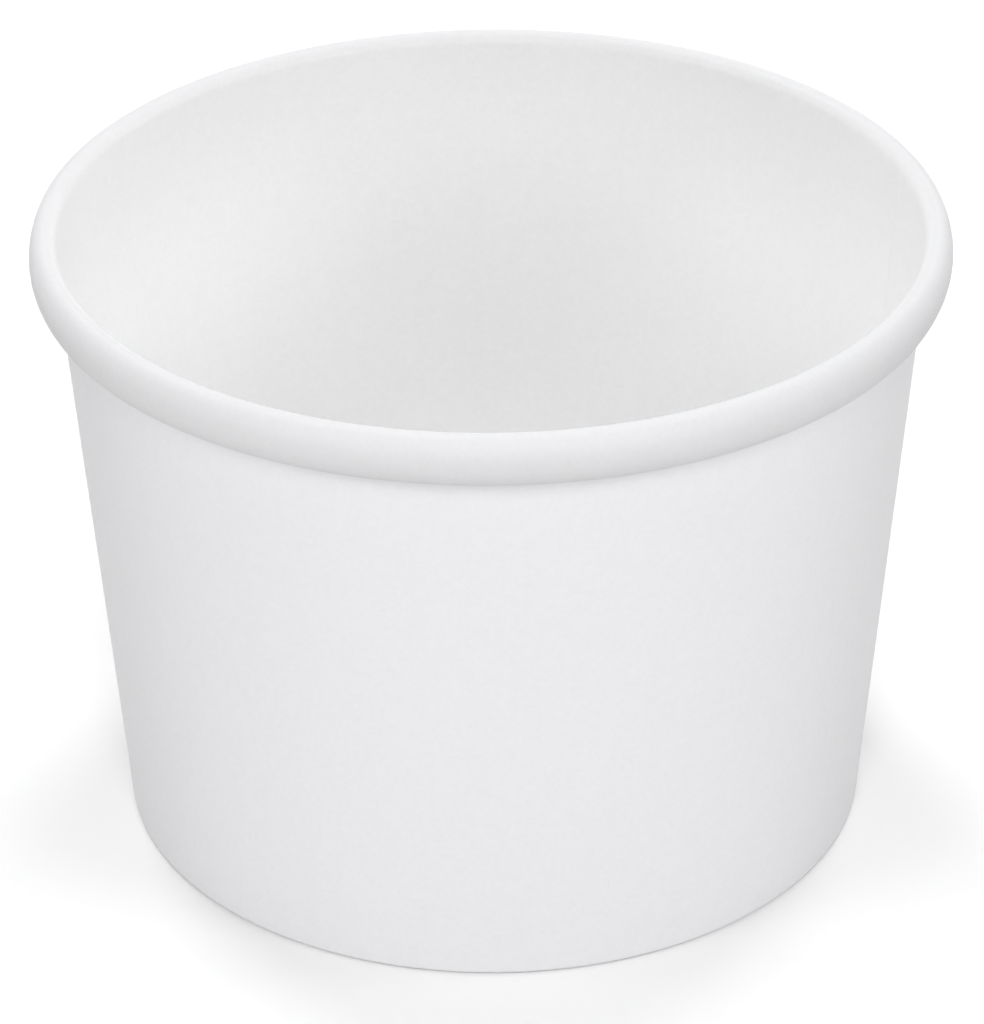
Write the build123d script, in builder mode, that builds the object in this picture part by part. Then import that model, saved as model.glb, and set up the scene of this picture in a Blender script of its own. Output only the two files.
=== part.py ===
"""Paper sundae cup, in millimetres: a wrapped board wall with a rolled rim, hemmed round a recessed bottom disc.

The cup stands on z = 0 with its axis on Z. Both pieces are folded boards, so each is drawn as a section of
straight runs and bends, one face and then the other a board's thickness away, and turned about the axis.
"""

import os
from math import acos, asin, atan2, cos, degrees, hypot, radians, sin, tan

from build123d import *

# The cup as a whole
rim_diameter = 90.0  # outside the rolled rim
base_diameter = 75.0  # outer face of the wall, carried down to the table
cup_height = 63.5

# Side wall and its rolled rim
wall_board = 0.4
roll_height = 5.1
roll_width = 3.0
shoulder_share = 0.8  # bend at the top of the roll, of half the roll's width
tuck_share = 0.67  # bend under the roll, of half the width that is left beside the wall
tuck_gap = 0.05  # least gap between the rolled-under edge and the wall
tuck_run = 1.0  # last straight run of the roll, up beside the wall

# Hem at the foot of the wall
fold_radius = 0.03  # inside of each of the two bends that turn the wall up again
hem_clearance = 0.4  # from the hem's cut edge up to the bend of the disc

# Side seam, where one edge of the wrapped wall laps over the other
lap_width = 7.0
lap_rise = 0.3  # height of the pressed lap, a little under one board
ramp_share = 0.75  # climb of the outer edge, of the turn that would leave the wall without a corner
seam_angle = 4.5  # degrees about Z from +X to the lap's outer edge

# Bottom disc
bottom_board = 0.35
base_recess = 6.5  # from the table up to the underside of the disc
disc_bend = 0.8  # outside of the bend between disc and skirt

# Fits
seal_gap = 0.03  # film of coating between the two boards
overrun = 0.2  # how far the seam's outlines run past the faces they meet

rim_radius = rim_diameter / 2
base_radius = base_diameter / 2


def oval_side(half_height, half_width, end_radius):
    """Radius and turn of the arc that joins the end bend of an oval to its widest point without a corner."""
    rise = half_height**2 + half_width**2 - 2 * half_height * end_radius
    radius = rise / (2 * (half_width - end_radius))
    return radius, 90 - degrees(atan2(radius - half_width, half_height - end_radius))


def draw_board(start, heading, board, folds):
    """Draws the section of a folded board: its first face from start, the face on its right, and both cut edges.

    Each fold is a straight run, then a bend by its radius on the first face and its turn, left being positive.
    """
    cut_edges = []
    for depth in (0, board):
        angle = heading
        first = Vector(*start) + Vector(sin(radians(angle)), -cos(radians(angle))) * depth
        point = first
        for run, radius, turn in folds:
            if run:
                point = PolarLine(point, run, angle) @ 1
            if turn:
                tangent = (cos(radians(angle)), sin(radians(angle)))
                side = 1 if turn > 0 else -1
                point = JernArc(point, tangent, radius + side * depth, turn) @ 1
                angle += turn
        cut_edges.append((first, point))
    for near, far in zip(*cut_edges):
        Line(near, far)


# The slope of the wall touches the shoulder of the roll inside, and meets the base diameter at the table outside
half_height = roll_height / 2
half_width = roll_width / 2
shoulder_radius = shoulder_share * half_width
shoulder_out = rim_radius - half_width - base_radius
shoulder_up = cup_height - shoulder_radius
shoulder_reach = asin((shoulder_radius - wall_board) / hypot(shoulder_out, shoulder_up))
taper = atan2(shoulder_out, shoulder_up) - shoulder_reach
lean = degrees(taper)


def wall_radius(height, inset=0):
    """Radius at a height of the cone that lies an inset inside the outer face of the wall."""
    return base_radius + height * tan(taper) - inset / cos(taper)


# The roll: a shoulder, two side arcs that meet at its widest point, and a bend that tucks its edge up by the wall
upper_radius, upper_turn = oval_side(half_height, half_width, shoulder_radius)
shoulder_turn = 180 - lean - upper_turn
tuck_room = rim_radius - wall_radius(cup_height - half_height) - tuck_gap
tuck_half_width = tuck_room / (1 + tuck_share)
tuck_radius = tuck_share * tuck_half_width
lower_radius, lower_turn = oval_side(half_height, tuck_half_width, tuck_radius)
tuck_turn = 180 + lean - lower_turn

# The hem: the wall turns under at the table and stands up again beyond the skirt of the disc
disc_top = base_recess + bottom_board
bend_height = disc_top - disc_bend
hem_top = bend_height - hem_clearance
fold_room = bottom_board + 2 * seal_gap
fold_flat = (fold_room - 2 * fold_radius) / cos(taper)
hem_run = (hem_top - wall_board - fold_radius * (1 + sin(taper))) / cos(taper)
wall_foot = wall_board + fold_radius * (1 - sin(taper))
wall_run = (shoulder_up + shoulder_radius * sin(taper) - wall_foot) / cos(taper)

# The seam: the lap's two edges follow the slope of the wall, from the hem's fold to the underside of the roll
lap_turn = degrees(lap_width / base_radius)
ramp_turn = ramp_share * degrees(acos((base_radius - overrun) / (base_radius + lap_rise)))
inner_edge_angle = seam_angle + lap_turn
lap_foot = wall_board + fold_radius
lap_head = cup_height - roll_height

# Side wall
with BuildPart() as side_wall:
    with BuildSketch(Plane.XZ):
        with BuildLine():
            draw_board(
                start=(wall_radius(hem_top, wall_board + fold_room), hem_top),
                heading=-90 - lean,
                board=wall_board,
                folds=[
                    (hem_run, fold_radius, 90 + lean),
                    (fold_flat, fold_radius, 90 - lean),
                    (wall_run, shoulder_radius, -shoulder_turn),
                    (0, upper_radius, -upper_turn),
                    (0, lower_radius, -lower_turn),
                    (0, tuck_radius, -tuck_turn),
                    (tuck_run, 0, 0),
                ],
            )
        make_face()
    revolve(axis=Axis.Z)

    # Outer edge of the lap, with the ramp by which it climbs
    for height in (lap_foot, lap_head):
        face_radius = wall_radius(height)
        with BuildSketch(Plane.XY.offset(height)):
            with BuildLine():
                crest = CenterArc((0, 0), face_radius + lap_rise, seam_angle, lap_turn)
                root = CenterArc((0, 0), face_radius - overrun, seam_angle, lap_turn + ramp_turn)
                Line(root @ 0, crest @ 0)
                Line(root @ 1, crest @ 1)
            make_face()
    loft(ruled=True)

    # Inner edge of the lap, a step down onto the outer board where it climbs away
    for height in (disc_top, lap_head):
        face_radius = wall_radius(height, wall_board)
        with BuildSketch(Plane.XY.offset(height)):
            with BuildLine():
                mouth = CenterArc((0, 0), face_radius - overrun, inner_edge_angle, ramp_turn)
                step = PolarLine(mouth @ 0, overrun + lap_rise, inner_edge_angle)
                Line(step @ 1, mouth @ 1)
            make_face()
    loft(ruled=True, mode=Mode.SUBTRACT)

# Bottom disc, with its skirt turned down between the wall and the hem
skirt_inset = wall_board + seal_gap
skirt_foot = wall_board + fold_radius + seal_gap
disc_run = wall_radius(bend_height, skirt_inset) - disc_bend / cos(taper)
skirt_run = (bend_height - disc_bend * sin(taper) - skirt_foot) / cos(taper)

with BuildPart() as bottom_disc:
    with BuildSketch(Plane.XZ):
        with BuildLine():
            draw_board(
                start=(0, disc_top),
                heading=0,
                board=bottom_board,
                folds=[(disc_run, disc_bend, -90 - lean), (skirt_run, 0, 0)],
            )
        make_face()
    revolve(axis=Axis.Z)

side_wall.part.label = "side_wall"
bottom_disc.part.label = "bottom_disc"

os.makedirs("parts", exist_ok=True)
export_step(side_wall.part, "parts/side_wall.step")
export_step(bottom_disc.part, "parts/bottom_disc.step")
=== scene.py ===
"""Paper sundae cup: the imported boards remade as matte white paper, standing on a white studio floor.

Everything is in metres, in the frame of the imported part: the cup stands on z = 0 with its axis on Z.
"""

from math import atan2, asin, copysign, cos, degrees, hypot, radians, sin, tan

import bmesh
import bpy
import numpy as np
from mathutils import Matrix, Vector


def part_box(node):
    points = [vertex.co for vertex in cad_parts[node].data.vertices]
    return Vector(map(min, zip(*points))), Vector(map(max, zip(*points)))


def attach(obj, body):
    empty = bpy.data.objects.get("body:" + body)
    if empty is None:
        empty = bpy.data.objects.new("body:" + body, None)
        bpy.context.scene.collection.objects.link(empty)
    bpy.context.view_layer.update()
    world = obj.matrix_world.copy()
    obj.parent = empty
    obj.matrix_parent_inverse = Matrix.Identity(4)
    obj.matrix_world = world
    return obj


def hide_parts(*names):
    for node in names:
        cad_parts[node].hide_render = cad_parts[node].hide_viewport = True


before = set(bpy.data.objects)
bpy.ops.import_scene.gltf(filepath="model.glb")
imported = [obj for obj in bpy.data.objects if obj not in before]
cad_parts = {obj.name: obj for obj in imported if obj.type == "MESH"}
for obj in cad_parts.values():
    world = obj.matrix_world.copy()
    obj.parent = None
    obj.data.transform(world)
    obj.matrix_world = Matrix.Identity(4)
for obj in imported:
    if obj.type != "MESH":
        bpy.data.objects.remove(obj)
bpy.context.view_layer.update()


# Side wall: one fan-shaped blank of coated paper board, wrapped into a cone and sealed on itself along a
# lapped seam. Its top edge is rolled outwards into the hollow rim. Its foot is folded in and up as a hem,
# which a knurled wheel has pressed against the skirt of the disc.
mm = 0.001
wall_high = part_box("side_wall")[1]
disc_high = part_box("bottom_disc")[1]
rim_radius = wall_high.y
cup_height = wall_high.z
disc_top = disc_high.z
foot_radius = 37.5 * mm
wall_board = 0.4 * mm
disc_board = 0.35 * mm
seal_gap = 0.03 * mm

# The roll is an oval of four arcs: a shoulder, two side arcs that meet at its widest point, and a tuck
roll_height = 5.1 * mm
roll_width = 3.0 * mm
shoulder_radius = 1.2 * mm
tuck_share = 0.67
tuck_gap = 0.05 * mm
tuck_run = 1.0 * mm
half_height = roll_height / 2
half_width = roll_width / 2


def oval_side(half_width, end_radius):
    """Radius and turn of the arc that joins the end bend of the roll to its widest point without a corner."""
    rise = half_height**2 + half_width**2 - 2 * half_height * end_radius
    radius = rise / (2 * (half_width - end_radius))
    return radius, 90 - degrees(atan2(radius - half_width, half_height - end_radius))


shoulder_out = rim_radius - half_width - foot_radius
shoulder_up = cup_height - shoulder_radius
shoulder_reach = asin((shoulder_radius - wall_board) / hypot(shoulder_out, shoulder_up))
taper = atan2(shoulder_out, shoulder_up) - shoulder_reach
lean = degrees(taper)


def wall_radius(height, inset=0):
    """Radius at a height of the cone that lies an inset inside the outer face of the wall."""
    return foot_radius + height * tan(taper) - inset / cos(taper)


upper_radius, upper_turn = oval_side(half_width, shoulder_radius)
shoulder_turn = 180 - lean - upper_turn
tuck_room = rim_radius - wall_radius(cup_height - half_height) - tuck_gap
tuck_half_width = tuck_room / (1 + tuck_share)
tuck_radius = tuck_share * tuck_half_width
lower_radius, lower_turn = oval_side(tuck_half_width, tuck_radius)
tuck_turn = 180 + lean - lower_turn

# The hem turns under at the table and stands up again beyond the skirt of the disc, short of the disc's bend
fold_radius = 0.03 * mm
disc_bend = 0.8 * mm
hem_clearance = 0.4 * mm
bend_height = disc_top - disc_bend
hem_top = bend_height - hem_clearance
fold_room = disc_board + 2 * seal_gap
fold_flat = (fold_room - 2 * fold_radius) / cos(taper)
hem_run = (hem_top - wall_board - fold_radius * (1 + sin(taper))) / cos(taper)
wall_foot = wall_board + fold_radius * (1 - sin(taper))
wall_run = (shoulder_up + shoulder_radius * sin(taper) - wall_foot) / cos(taper)


def draw_face(section, start, heading, depth, folds):
    """Draws one face of a folded board in the XZ plane and returns the two vertices at its ends.

    A vertex is pulled along the rows of each straight run and spun round each bend. A fold is the run, its
    rows, the bend's radius on the first face, its turn with left positive, and its steps.
    """
    angle = radians(heading)
    first = section.verts.new(Vector(start) + depth * Vector((sin(angle), 0, -cos(angle))))
    tip = first
    for run, rows, radius, turn, steps in folds:
        for row in range(rows):
            tip = bmesh.ops.extrude_vert_indiv(section, verts=[tip])["verts"][0]
            tip.co += Vector((cos(angle), 0, sin(angle))) * run / rows
        if turn:
            side = copysign(1, turn)
            centre = tip.co + Vector((-sin(angle), 0, cos(angle))) * (side * radius + depth)
            bend = bmesh.ops.spin(
                section, geom=[tip], cent=centre, axis=(0, -1, 0), angle=radians(turn), steps=steps
            )
            tip = bend["geom_last"][0]
            angle += radians(turn)
    return first, tip


def draw_board(section, start, heading, board, folds):
    """Draws both faces of a folded board, the second a board's thickness to the right, and its cut edges."""
    near = draw_face(section, start, heading, 0, folds)
    far = draw_face(section, start, heading, board, folds)
    for cut_edge in zip(near, far):
        section.edges.new(cut_edge)


def turn_board(section, seam_sectors, slices, slice_steps):
    """Spins a section about Z into a closed ring: the seam's sectors of a turn and its steps, then like slices."""
    ring = section.verts[:] + section.edges[:]
    plain_turn = 360
    for turn, steps in seam_sectors:
        ring = bmesh.ops.spin(section, geom=ring, axis=(0, 0, 1), angle=radians(turn), steps=steps)["geom_last"]
        plain_turn -= turn
    slice_turn = plain_turn / slices
    seam_faces = set(section.faces)
    bmesh.ops.spin(section, geom=ring, axis=(0, 0, 1), angle=radians(slice_turn), steps=slice_steps)
    slice_faces = [face for face in section.faces if face not in seam_faces]
    bmesh.ops.spin(
        section,
        geom=slice_faces,
        axis=(0, 0, 1),
        angle=radians(plain_turn - slice_turn),
        steps=slices - 1,
        use_duplicate=True,
    )
    weld_reach = 0.001 * mm
    bmesh.ops.remove_doubles(section, verts=section.verts, dist=weld_reach)
    on_axis = [edge for edge in section.edges if edge.is_wire]
    bmesh.ops.delete(section, geom=on_axis, context="EDGES")
    bmesh.ops.recalc_face_normals(section, faces=section.faces)


# The lap starts within the lowest row of the wall, and the last run is hidden behind the roll
foot_row = 0.4 * mm
hidden_run = 4.2 * mm
shown_run = wall_run - foot_row - hidden_run

wall = bmesh.new()
draw_board(
    wall,
    start=(wall_radius(hem_top, wall_board + fold_room), 0, hem_top),
    heading=-90 - lean,
    board=wall_board,
    folds=[
        (hem_run, 6, fold_radius, 90 + lean, 6),
        (fold_flat, 1, fold_radius, 90 - lean, 6),
        (foot_row, 1, 0, 0, 0),
        (shown_run, 12, 0, 0, 0),
        (hidden_run, 1, shoulder_radius, -shoulder_turn, 14),
        (0, 0, upper_radius, -upper_turn, 4),
        (0, 0, lower_radius, -lower_turn, 4),
        (0, 0, tuck_radius, -tuck_turn, 12),
        (tuck_run, 1, 0, 0, 0),
    ],
)

# The seam's outer edge, lap, inner edge and ramp are sectors of their own. The outer edge is crisp, and the
# inner one is a soft step
lap_width = 7.0 * mm
lap_rise = 0.3 * mm
lap_turn = degrees(lap_width / foot_radius)
ramp_turn = 7.0
edge_turn = 0.05
step_turn = 0.8
seam_angle = 4.5
seam_start = seam_angle - edge_turn
bmesh.ops.rotate(wall, verts=wall.verts, matrix=Matrix.Rotation(radians(seam_start), 3, "Z"))
seam_sectors = [(edge_turn, 1), (lap_turn, 18), (step_turn, 3), (ramp_turn, 12)]
turn_board(wall, seam_sectors, slices=29, slice_steps=20)

# The lap lifts the outer face, and the inner face follows it where it climbs over the inner edge. The inner
# face is coated up to the top of the roll and is painted whiter, partly for the coating and partly as painted
# light. The outside of the roll is painted darker as painted shade, most at and below its widest point. Both
# fade by the angle round the roll, in degrees from its widest point
knurls = 150
knurl_depth = 0.06 * mm
lap_turns = np.cumsum([0, edge_turn, lap_turn + step_turn, ramp_turn])
step_turns = np.cumsum([edge_turn + lap_turn, step_turn, ramp_turn])
lap_foot = wall_board + fold_radius
lap_head = cup_height - roll_height
face_reach = 0.02 * mm
# The coated inner face is painted whiter, partly its own colour and partly painted light that brightens the inside
coating_and_light_angles, coating_and_light_shares = (100, 140), (0, 1)
# Painted shade on the outside of the roll: full at its widest point and below it, fading out over its top
painted_shade_angles, painted_shade_shares = (10, 70, 90), (1, 0.35, 0)
coating_and_light = wall.verts.layers.float.new("coating_and_light")
painted_shade = wall.verts.layers.float.new("painted_shade")
for vert in wall.verts:
    radius = hypot(vert.co.x, vert.co.y)
    height = vert.co.z
    turn = (degrees(atan2(vert.co.y, vert.co.x)) - seam_start) % 360
    push = 0
    if lap_foot < height < lap_head and abs(radius - wall_radius(height)) < face_reach:
        push = lap_rise * np.interp(turn, lap_turns, (0, 1, 1, 0))
    elif disc_top < height < lap_head and abs(radius - wall_radius(height, wall_board)) < face_reach:
        push = lap_rise * np.interp(turn, step_turns, (0, 1, 0))
    elif abs(radius - wall_radius(height, 2 * wall_board + fold_room)) < face_reach:
        pressed = np.interp(height, (lap_foot, hem_top / 2, hem_top), (0, 1, 0))
        push = knurl_depth * pressed * cos(radians(knurls * turn))
    out = (radius - rim_radius + half_width) / half_width
    up = (height - cup_height + half_height) / half_height
    over_roll = degrees(atan2(up, out))
    # The inner face takes the coated white, partly painted light
    if height > shoulder_up:
        vert[coating_and_light] = np.interp(over_roll, coating_and_light_angles, coating_and_light_shares)
    else:
        vert[coating_and_light] = float(hem_top < height and radius < wall_radius(height, wall_board / 2))
    # Paint shade onto the outside of the roll
    if height > lap_head and out > 0:
        vert[painted_shade] = np.interp(over_roll, painted_shade_angles, painted_shade_shares)
    vert.co.xy *= 1 + push / radius


def make_piece(board, name, material):
    """Makes a board into a piece of the cup: smooth faces, crisp cut edges, and the board's material."""
    crisp_angle = radians(35)
    for face in board.faces:
        face.smooth = True
    for edge in board.edges:
        edge.smooth = edge.calc_face_angle(0) < crisp_angle
    mesh = bpy.data.meshes.new(name)
    board.to_mesh(mesh)
    board.free()
    mesh.materials.append(material)
    piece = bpy.data.objects.new(name, mesh)
    bpy.context.scene.collection.objects.link(piece)
    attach(piece, "root")
    return piece


def link(tree, start, end):
    """Joins two sockets of a node tree."""
    tree.links.new(end, start)


def make_paper_grain():
    """Shader group for coated board: fine fibre grain, soft mottling and faint streaks down the wall."""
    mottle_share = 0.35
    streak_share = 0.15
    streak_squash = 0.06
    noise_middle = 0.5
    group = bpy.data.node_groups.new("paper_grain", "ShaderNodeTree")
    for name, kind, flow in (
        ("Board Colour", "NodeSocketColor", "INPUT"),
        ("Mottling", "NodeSocketFloat", "INPUT"),
        ("Colour", "NodeSocketColor", "OUTPUT"),
        ("Height", "NodeSocketFloat", "OUTPUT"),
    ):
        group.interface.new_socket(name, in_out=flow, socket_type=kind)
    nodes = group.nodes
    entry = nodes.new("NodeGroupInput")
    leave = nodes.new("NodeGroupOutput")
    place = nodes.new("ShaderNodeTexCoord")
    squash = nodes.new("ShaderNodeMapping")
    squash.inputs["Scale"].default_value = (1, 1, streak_squash)
    link(group, place.outputs["Object"], squash.inputs["Vector"])
    layers = []
    for vector, scale, detail in (
        (place.outputs["Object"], 2100, 3),
        (place.outputs["Object"], 700, 2),
        (squash.outputs["Vector"], 900, 1),
    ):
        noise = nodes.new("ShaderNodeTexNoise")
        noise.inputs["Scale"].default_value = scale
        noise.inputs["Detail"].default_value = detail
        link(group, vector, noise.inputs["Vector"])
        layers.append(noise.outputs["Fac"])
    grain, mottle, streak = layers
    mottled = nodes.new("ShaderNodeMath")
    mottled.operation = "MULTIPLY_ADD"
    mottled.inputs[1].default_value = mottle_share
    link(group, mottle, mottled.inputs[0])
    link(group, grain, mottled.inputs[2])
    streaked = nodes.new("ShaderNodeMath")
    streaked.operation = "MULTIPLY_ADD"
    streaked.inputs[1].default_value = streak_share
    link(group, streak, streaked.inputs[0])
    link(group, mottled.outputs[0], streaked.inputs[2])
    centred = nodes.new("ShaderNodeMath")
    centred.operation = "SUBTRACT"
    centred.inputs[1].default_value = noise_middle * (1 + mottle_share + streak_share)
    link(group, streaked.outputs[0], centred.inputs[0])
    tone = nodes.new("ShaderNodeMath")
    tone.operation = "MULTIPLY_ADD"
    tone.inputs[2].default_value = 1
    link(group, centred.outputs[0], tone.inputs[0])
    link(group, entry.outputs["Mottling"], tone.inputs[1])
    tint = nodes.new("ShaderNodeVectorMath")
    tint.operation = "SCALE"
    link(group, entry.outputs["Board Colour"], tint.inputs[0])
    link(group, tone.outputs[0], tint.inputs["Scale"])
    link(group, tint.outputs[0], leave.inputs["Colour"])
    link(group, mottled.outputs[0], leave.inputs["Height"])
    return group


def make_board_material(name, grain, board_colour, coated_and_lit_colour, painted_shade_colour):
    """Matte white board, with a smoother coating inside the cup that is painted whiter, partly for the coating's own
    colour and partly as painted light, and with painted shade, greyer, on the outside of the roll.
    """
    board_roughness = 0.75
    coated_roughness = 0.5
    material = bpy.data.materials.new(name)
    material.use_nodes = True
    tree = material.node_tree
    shader = tree.nodes["Principled BSDF"]
    # The coated face's whiter colour is partly painted light that brightens the inside
    coating_and_light = tree.nodes.new("ShaderNodeAttribute")
    coating_and_light.attribute_name = "coating_and_light"
    colours = tree.nodes.new("ShaderNodeMix")
    colours.data_type = "RGBA"
    colours.inputs["A"].default_value = (*board_colour, 1)
    colours.inputs["B"].default_value = (*coated_and_lit_colour, 1)
    # Painted shade: the outside of the roll is greyer
    painted_shade = tree.nodes.new("ShaderNodeAttribute")
    painted_shade.attribute_name = "painted_shade"
    tones = tree.nodes.new("ShaderNodeMix")
    tones.data_type = "RGBA"
    tones.inputs["B"].default_value = (*painted_shade_colour, 1)
    gloss = tree.nodes.new("ShaderNodeMix")
    gloss.inputs["A"].default_value = board_roughness
    gloss.inputs["B"].default_value = coated_roughness
    texture = tree.nodes.new("ShaderNodeGroup")
    texture.node_tree = grain
    texture.inputs["Mottling"].default_value = 0.07
    bump = tree.nodes.new("ShaderNodeBump")
    bump.inputs["Strength"].default_value = 0.25
    bump.inputs["Distance"].default_value = 0.02 * mm
    link(tree, coating_and_light.outputs["Fac"], colours.inputs["Factor"])
    link(tree, coating_and_light.outputs["Fac"], gloss.inputs["Factor"])
    link(tree, painted_shade.outputs["Fac"], tones.inputs["Factor"])
    link(tree, colours.outputs["Result"], tones.inputs["A"])
    link(tree, tones.outputs["Result"], texture.inputs["Board Colour"])
    link(tree, texture.outputs["Colour"], shader.inputs["Base Color"])
    link(tree, gloss.outputs["Result"], shader.inputs["Roughness"])
    link(tree, texture.outputs["Height"], bump.inputs["Height"])
    link(tree, bump.outputs["Normal"], shader.inputs["Normal"])
    return material


board_white = (0.78, 0.78, 0.793)
# The coated white is partly the coating's own colour and partly painted light that brightens the inside
coated_and_lit_white = (0.92, 0.92, 0.924)
# The greyest white is painted shade on the outside of the roll
painted_shade_white = (0.67, 0.67, 0.681)
paper_grain = make_paper_grain()
wall_paper = make_board_material("wall_paper", paper_grain, board_white, coated_and_lit_white, painted_shade_white)
cup_wall = make_piece(wall, "cup_wall", wall_paper)
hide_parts("side_wall")


# Bottom disc: a round blank of thinner board with its edge turned down as a skirt. The skirt is heat sealed
# between the foot of the wall and the hem, which holds the disc clear of the table.
skirt_inset = wall_board + seal_gap
skirt_foot = wall_board + fold_radius + seal_gap
disc_run = wall_radius(bend_height, skirt_inset) - disc_bend / cos(taper)
skirt_run = (bend_height - disc_bend * sin(taper) - skirt_foot) / cos(taper)

disc = bmesh.new()
draw_board(
    disc,
    start=(0, 0, disc_top),
    heading=0,
    board=disc_board,
    folds=[(disc_run, 12, disc_bend, -90 - lean, 8), (skirt_run, 3, 0, 0, 0)],
)
turn_board(disc, [], slices=24, slice_steps=15)
# The disc's top face, inside the cup, takes the coated white, partly painted light
coating_and_light = disc.verts.layers.float.new("coating_and_light")
for vert in disc.verts:
    vert[coating_and_light] = float(vert.co.z > disc_top - disc_board / 2)
disc_paper = make_board_material("disc_paper", paper_grain, board_white, coated_and_lit_white, board_white)
cup_disc = make_piece(disc, "cup_disc", disc_paper)
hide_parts("bottom_disc")


# Studio floor: a wide sheet of white paper that the cup stands on. The camera sees it as white, and it keeps
# the shadow under the cup.
floor_size = 6.0
floor_drop = 0.02 * mm
lit_grey = 0.5
seen_white = 1.02
floor_mesh = bmesh.new()
bmesh.ops.create_grid(floor_mesh, x_segments=1, y_segments=1, size=floor_size / 2)
bmesh.ops.translate(floor_mesh, verts=floor_mesh.verts, vec=(0, 0, -floor_drop))
floor_sheet = bpy.data.meshes.new("studio_floor")
floor_mesh.to_mesh(floor_sheet)
floor_mesh.free()
floor = bpy.data.objects.new("studio_floor", floor_sheet)
bpy.context.scene.collection.objects.link(floor)


def make_backdrop_mask(tree):
    """Adds nodes that tell rays from the camera, and from glossy and clear surfaces, from the rays of plain light."""
    paths = tree.nodes.new("ShaderNodeLightPath")
    mask = paths.outputs["Is Camera Ray"]
    for ray in ("Is Glossy Ray", "Is Transmission Ray"):
        either = tree.nodes.new("ShaderNodeMath")
        either.operation = "MAXIMUM"
        link(tree, mask, either.inputs[0])
        link(tree, paths.outputs[ray], either.inputs[1])
        mask = either.outputs[0]
    return mask


floor_paper = bpy.data.materials.new("floor_paper")
floor_paper.use_nodes = True
tree = floor_paper.node_tree
tree.nodes.clear()
colours = tree.nodes.new("ShaderNodeMix")
colours.data_type = "RGBA"
colours.inputs["A"].default_value = (lit_grey, lit_grey, lit_grey, 1)
colours.inputs["B"].default_value = (seen_white, seen_white, seen_white, 1)
matte = tree.nodes.new("ShaderNodeBsdfDiffuse")
result = tree.nodes.new("ShaderNodeOutputMaterial")
link(tree, make_backdrop_mask(tree), colours.inputs["Factor"])
link(tree, colours.outputs["Result"], matte.inputs["Color"])
link(tree, matte.outputs["BSDF"], result.inputs["Surface"])
floor_sheet.materials.append(floor_paper)

# Studio light: soft boxes over the cup and round it, two low strips in front, and a white room. Each lamp is
# its turn from the front towards the right, its height in degrees, its width and height, and its power.
soft_box = (0.66, 0.66)
strip = (0.6, 0.06)
lamps = (
    ("front_box", 0, 42, soft_box, 6.4),
    ("left_front_box", -60, 25, soft_box, 4.6),
    ("right_front_box", 60, 25, soft_box, 4.9),
    ("left_box", -90, 25, soft_box, 2.7),
    ("right_box", 90, 25, soft_box, 4.0),
    ("left_back_box", -150, 42, soft_box, 7.7),
    ("right_back_box", 150, 42, soft_box, 6.1),
    ("overhead_box", 0, 90, soft_box, 5.0),
    ("left_strip", -25, 0, strip, 5.3),
    ("right_strip", 25, 0, strip, 4.5),
)
lamp_distance = 1.5
middle = Vector((0, 0, cup_height / 2))
for name, turn, height, size, power in lamps:
    lamp = bpy.data.lights.new(name, "AREA")
    lamp.shape = "ELLIPSE"
    lamp.size, lamp.size_y = size
    lamp.energy = power
    stand = bpy.data.objects.new(name, lamp)
    reach = lamp_distance * cos(radians(height))
    stand.location = middle + Vector(
        (reach * sin(radians(turn)), -reach * cos(radians(turn)), lamp_distance * sin(radians(height)))
    )
    stand.rotation_euler = (middle - stand.location).to_track_quat("-Z", "Y").to_euler()
    stand.visible_camera = False
    bpy.context.scene.collection.objects.link(stand)

room = bpy.data.worlds.new("white_room")
room.use_nodes = True
tree = room.node_tree
backdrop = tree.nodes["Background"]
backdrop.inputs["Color"].default_value = (1, 1, 1, 1)
link(tree, make_backdrop_mask(tree), backdrop.inputs["Strength"])
bpy.context.scene.world = room
bpy.context.scene.view_settings.view_transform = "Standard"

# Camera: a long lens about half a metre away, looking some 30 degrees down into the cup.
camera_distance = 495 * mm
camera_elevation = radians(29.96)
camera_roll = radians(-0.44)
aim = Vector((-0.1 * mm, 0, 30.24 * mm))
view = bpy.data.cameras.new("photo_camera")
view.lens = 172.9
camera = bpy.data.objects.new("photo_camera", view)
back = Vector((0, -cos(camera_elevation), sin(camera_elevation)))
place = middle + camera_distance * back
turned = (aim - place).to_track_quat("-Z", "Y").to_matrix().to_4x4()
camera.matrix_world = Matrix.Translation(place) @ turned @ Matrix.Rotation(camera_roll, 4, "Z")
bpy.context.scene.collection.objects.link(camera)
bpy.context.scene.camera = camera
